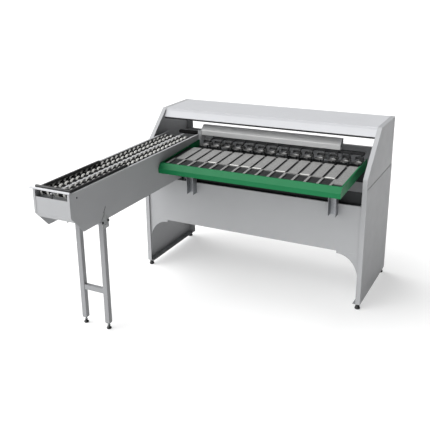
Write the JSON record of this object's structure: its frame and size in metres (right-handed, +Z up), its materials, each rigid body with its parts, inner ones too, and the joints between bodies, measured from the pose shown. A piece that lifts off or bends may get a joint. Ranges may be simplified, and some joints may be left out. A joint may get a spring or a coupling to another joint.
{
  "type": "egg grading machine",
  "caption": "Egg grader: a roller trough on a folding leg feeds tipping weigh pans, which let eggs roll down sloping lanes to a green lip, in a sheet-metal cabinet.",
  "frame": {"origin": "on the floor, under the middle of the whole machine's box, trough included", "axes": "+Z up, +Y from the trough's free end towards the back of the cabinet, +X to the right as seen from the trough's end"},
  "size_m": [1.46, 1.688, 1.04],
  "materials": {
    "grey_paint": "satin",
    "light_paint": "satin",
    "dark_paint": "satin",
    "charcoal_paint": "matte",
    "green_paint": "satin",
    "brushed_steel": "brushed",
    "galvanised_steel": "galvanised",
    "bright_steel": "satin",
    "black_plastic": "matte",
    "white_plastic": "satin",
    "cast_grey": "painted"
  },
  "bodies": {
    "frame": {"back_panel": "grey_paint", "left_side_lower": "grey_paint", "left_side_upper": "grey_paint", "right_side_lower": "grey_paint", "right_side_upper": "grey_paint", "front_panel": "grey_paint", "left_gusset": "grey_paint", "right_gusset": "grey_paint", "trough_left_wall": "grey_paint", "trough_right_wall": "grey_paint", "top_cover": "light_paint", "trough_end_plate": "light_paint", "centre_divider": "light_paint", "hood_left_bracket": "light_paint", "hood_right_bracket": "dark_paint", "inner_cross_plate": "charcoal_paint", "machine_beam": "charcoal_paint", "trough_saddle": "charcoal_paint", "table_floor": "charcoal_paint", "tray_frame": "green_paint", "hood": "brushed_steel", "lane_strips": "galvanised_steel", "finger_rack": "galvanised_steel", "left_leg_bracket": "galvanised_steel", "right_leg_bracket": "galvanised_steel", "trough_front_bar": "bright_steel", "left_table_post": "bright_steel", "right_table_post": "bright_steel", "left_front_foot": "black_plastic", "left_back_foot": "black_plastic", "right_front_foot": "black_plastic", "right_back_foot": "black_plastic", "guide_frame": "black_plastic", "stop_bar": "black_plastic", "weigh_rail": "black_plastic", "gearmotor": "cast_grey", "drive_chain": "cast_grey"},
    "leg": {"leg_frame": "grey_paint", "left_leg_foot": "black_plastic", "right_leg_foot": "black_plastic"},
    "roller_mat": {"roller_mat": "white_plastic"},
    "drive_shaft": {"drive_shaft": "bright_steel"},
    "idler_shaft": {"idler_shaft": "bright_steel"},
    "motor_sprocket": {"motor_sprocket": "bright_steel"},
    "transport_carriage": {"transport_carriage": "bright_steel"},
    "transport_beam": {"transport_beam": "black_plastic"},
    "weigh_pan_1": {"weigh_pan_1": "bright_steel"},
    "weigh_pan_2": {"weigh_pan_2": "bright_steel"},
    "weigh_pan_3": {"weigh_pan_3": "bright_steel"},
    "weigh_pan_4": {"weigh_pan_4": "bright_steel"},
    "weigh_pan_5": {"weigh_pan_5": "bright_steel"},
    "weigh_pan_6": {"weigh_pan_6": "bright_steel"},
    "weigh_pan_7": {"weigh_pan_7": "bright_steel"},
    "weigh_pan_8": {"weigh_pan_8": "bright_steel"},
    "weigh_pan_9": {"weigh_pan_9": "bright_steel"},
    "weigh_pan_10": {"weigh_pan_10": "bright_steel"},
    "weigh_pan_11": {"weigh_pan_11": "bright_steel"},
    "weigh_pan_12": {"weigh_pan_12": "bright_steel"},
    "weigh_pan_13": {"weigh_pan_13": "bright_steel"},
    "weigh_pan_14": {"weigh_pan_14": "bright_steel"}
  },
  "joints": [
    {"name": "leg_fold", "type": "hinge", "parent": "frame", "child": "leg", "pos_m": [-0.575, -0.567, 0.63], "axis": [1, 0, 0], "range_deg": [0, 90]},
    {"name": "roller_travel", "type": "slide", "parent": "frame", "child": "roller_mat", "axis": [0, 1, 0], "range_m": [0, 0.0475]},
    {"name": "drive_turn", "type": "hinge", "parent": "frame", "child": "drive_shaft", "pos_m": [-0.575, 0.469, 0.8127], "axis": [1, 0, 0], "continuous": true},
    {"name": "idler_turn", "type": "hinge", "parent": "frame", "child": "idler_shaft", "pos_m": [-0.575, -0.791, 0.8127], "axis": [1, 0, 0], "continuous": true},
    {"name": "motor_turn", "type": "hinge", "parent": "frame", "child": "motor_sprocket", "pos_m": [-0.697, 0.479, 0.53], "axis": [1, 0, 0], "continuous": true},
    {"name": "beam_shift", "type": "slide", "parent": "frame", "child": "transport_carriage", "axis": [1, 0, 0], "range_m": [-0.0757, 0]},
    {"name": "beam_lift", "type": "slide", "parent": "transport_carriage", "child": "transport_beam", "axis": [0, 0, 1], "range_m": [0, 0.01]},
    {"name": "weigh_pan_1_tip", "type": "hinge", "parent": "frame", "child": "weigh_pan_1", "pos_m": [-0.358, 0.46, 0.836], "axis": [1, 0, 0], "range_deg": [0, 6]},
    {"name": "weigh_pan_2_tip", "type": "hinge", "parent": "frame", "child": "weigh_pan_2", "pos_m": [-0.2823, 0.46, 0.836], "axis": [1, 0, 0], "range_deg": [0, 6]},
    {"name": "weigh_pan_3_tip", "type": "hinge", "parent": "frame", "child": "weigh_pan_3", "pos_m": [-0.2066, 0.46, 0.836], "axis": [1, 0, 0], "range_deg": [0, 6]},
    {"name": "weigh_pan_4_tip", "type": "hinge", "parent": "frame", "child": "weigh_pan_4", "pos_m": [-0.1309, 0.46, 0.836], "axis": [1, 0, 0], "range_deg": [0, 6]},
    {"name": "weigh_pan_5_tip", "type": "hinge", "parent": "frame", "child": "weigh_pan_5", "pos_m": [-0.0552, 0.46, 0.836], "axis": [1, 0, 0], "range_deg": [0, 6]},
    {"name": "weigh_pan_6_tip", "type": "hinge", "parent": "frame", "child": "weigh_pan_6", "pos_m": [0.0205, 0.46, 0.836], "axis": [1, 0, 0], "range_deg": [0, 6]},
    {"name": "weigh_pan_7_tip", "type": "hinge", "parent": "frame", "child": "weigh_pan_7", "pos_m": [0.0962, 0.46, 0.836], "axis": [1, 0, 0], "range_deg": [0, 6]},
    {"name": "weigh_pan_8_tip", "type": "hinge", "parent": "frame", "child": "weigh_pan_8", "pos_m": [0.1719, 0.46, 0.836], "axis": [1, 0, 0], "range_deg": [0, 6]},
    {"name": "weigh_pan_9_tip", "type": "hinge", "parent": "frame", "child": "weigh_pan_9", "pos_m": [0.2476, 0.46, 0.836], "axis": [1, 0, 0], "range_deg": [0, 6]},
    {"name": "weigh_pan_10_tip", "type": "hinge", "parent": "frame", "child": "weigh_pan_10", "pos_m": [0.3233, 0.46, 0.836], "axis": [1, 0, 0], "range_deg": [0, 6]},
    {"name": "weigh_pan_11_tip", "type": "hinge", "parent": "frame", "child": "weigh_pan_11", "pos_m": [0.399, 0.46, 0.836], "axis": [1, 0, 0], "range_deg": [0, 6]},
    {"name": "weigh_pan_12_tip", "type": "hinge", "parent": "frame", "child": "weigh_pan_12", "pos_m": [0.4747, 0.46, 0.836], "axis": [1, 0, 0], "range_deg": [0, 6]},
    {"name": "weigh_pan_13_tip", "type": "hinge", "parent": "frame", "child": "weigh_pan_13", "pos_m": [0.5504, 0.46, 0.836], "axis": [1, 0, 0], "range_deg": [0, 6]},
    {"name": "weigh_pan_14_tip", "type": "hinge", "parent": "frame", "child": "weigh_pan_14", "pos_m": [0.6261, 0.46, 0.836], "axis": [1, 0, 0], "range_deg": [0, 6]}
  ],
  "couplings": [
    {"joint": "idler_turn", "follows": "drive_turn", "ratio": 1},
    {"joint": "motor_turn", "follows": "drive_turn", "ratio": 1}
  ]
}
